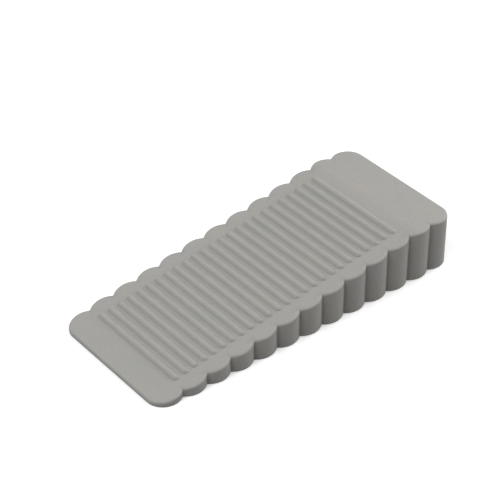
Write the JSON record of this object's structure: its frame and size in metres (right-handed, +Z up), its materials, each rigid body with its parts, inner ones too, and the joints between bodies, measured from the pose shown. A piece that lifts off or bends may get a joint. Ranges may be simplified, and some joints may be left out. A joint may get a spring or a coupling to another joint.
{
  "type": "door stop",
  "caption": "One-piece rubber door wedge with scalloped long sides, raised cross ribs on the ramp, a level heel landing and a grooved sole.",
  "frame": {"origin": "centre of the sole's bounding rectangle, on the floor", "axes": "+X from the thin tip to the heel, +Z up from the sole, Y across the wedge"},
  "size_m": [0.12, 0.0526, 0.0186],
  "materials": {
    "grey_rubber": "matte moulded, fine eroded texture"
  },
  "bodies": {
    "root": {"wedge": "grey_rubber"}
  },
  "joints": []
}
